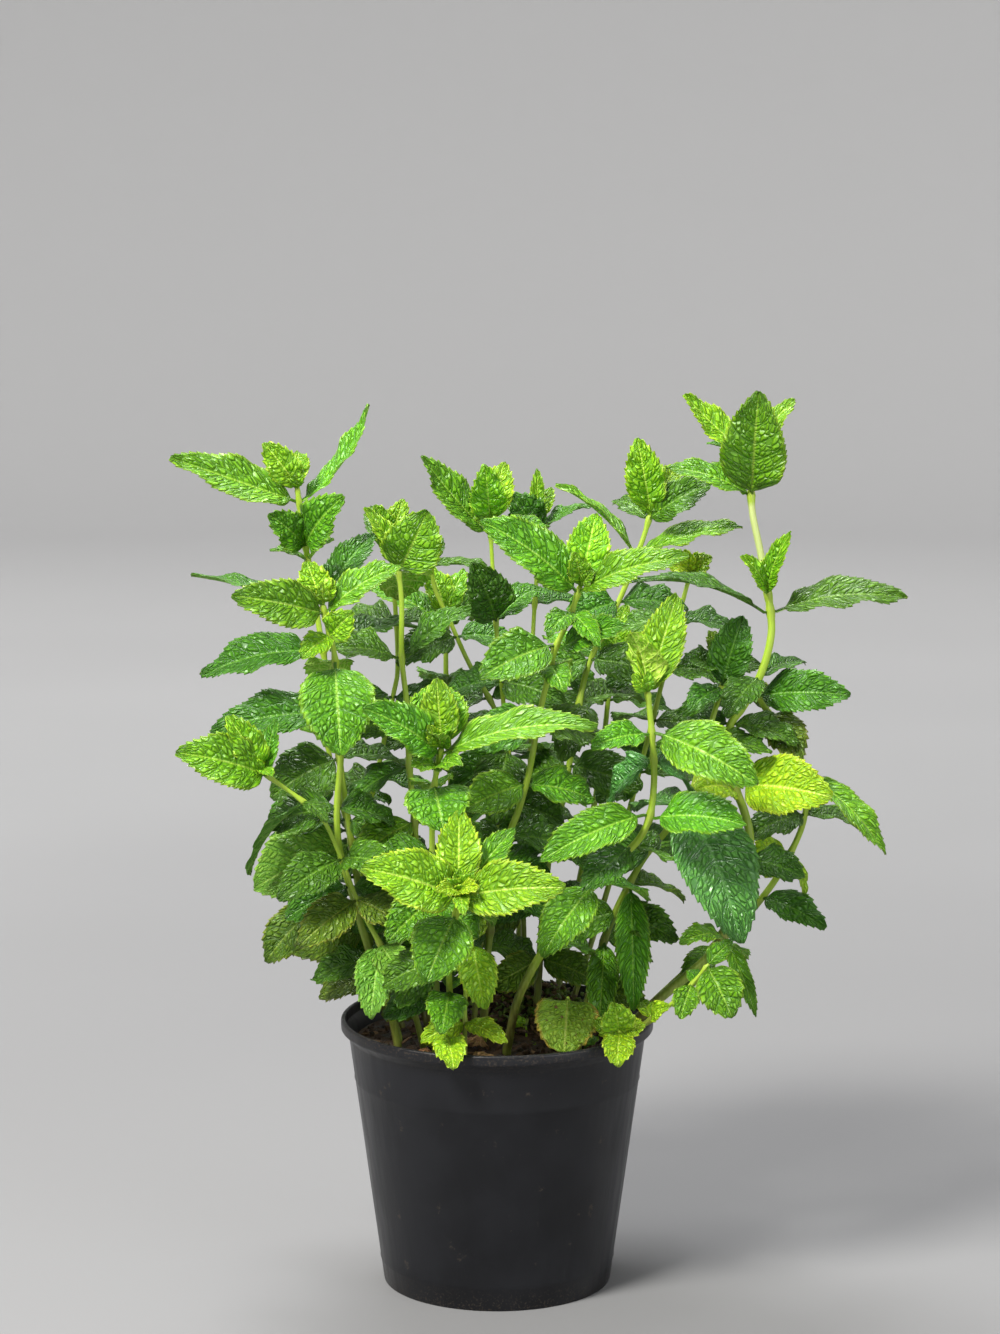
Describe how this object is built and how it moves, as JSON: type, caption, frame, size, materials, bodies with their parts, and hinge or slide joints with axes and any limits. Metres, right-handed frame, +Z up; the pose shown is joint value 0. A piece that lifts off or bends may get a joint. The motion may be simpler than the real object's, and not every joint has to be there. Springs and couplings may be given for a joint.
{
  "type": "potted mint plant",
  "caption": "Mint plant with leafy upright shoots growing from dark soil in a round, tapered black plastic nursery pot.",
  "frame": {"origin": "centre of the pot's underside, on the surface it stands on", "axes": "+Z up along the pot's axis, -Y towards the front of the plant as pictured, +X to the right"},
  "size_m": [0.298, 0.2062, 0.374],
  "materials": {
    "pot_plastic": "satin",
    "soil": "matte",
    "stem": "satin",
    "leaf_young": "satin",
    "leaf_fresh": "satin",
    "leaf_dark": "satin",
    "leaf_lime": "satin"
  },
  "bodies": {
    "root": {"crown_01": "leaf_fresh", "crown_02": "leaf_young", "crown_03": "leaf_fresh", "crown_04": "leaf_fresh", "crown_05": "leaf_young", "crown_06": "leaf_fresh", "crown_07": "leaf_young", "crown_08": "leaf_young", "crown_09": "leaf_young", "crown_10": "leaf_young", "crown_11": "leaf_young", "crown_12": "leaf_fresh", "crown_13": "leaf_lime", "crown_14": "leaf_young", "crown_15": "leaf_dark", "crown_16": "leaf_dark", "crown_17": "leaf_lime", "crown_22": "leaf_young", "crown_23": "leaf_young", "crown_24": "leaf_young", "leaf_pair_01_1": "leaf_dark", "leaf_pair_01_2": "leaf_dark", "leaf_pair_02_1": "leaf_fresh", "leaf_pair_04_1": "leaf_dark", "leaf_pair_08_1": "leaf_fresh", "leaf_pair_12_1": "leaf_dark", "leaf_pair_12_2": "leaf_lime", "leaf_pair_13_1": "leaf_dark", "leaf_pair_14_1": "leaf_fresh", "leaf_pair_14_2": "leaf_fresh", "pot": "pot_plastic", "soil": "soil", "sprig_18": "leaf_lime", "sprig_19": "leaf_lime", "sprig_20": "leaf_lime", "sprig_21": "leaf_lime", "sprig_26": "leaf_lime", "sprig_27": "leaf_lime", "stem_01": "stem", "stem_02": "stem", "stem_03": "stem", "stem_04": "stem", "stem_05": "stem", "stem_06": "stem", "stem_07": "stem", "stem_08": "stem", "stem_09": "stem", "stem_10": "stem", "stem_11": "stem", "stem_12": "stem", "stem_13": "stem", "stem_14": "stem", "stem_15": "stem", "stem_16": "stem", "stem_17": "stem", "stem_22": "stem", "stem_23": "stem", "stem_24": "stem"}
  },
  "joints": []
}
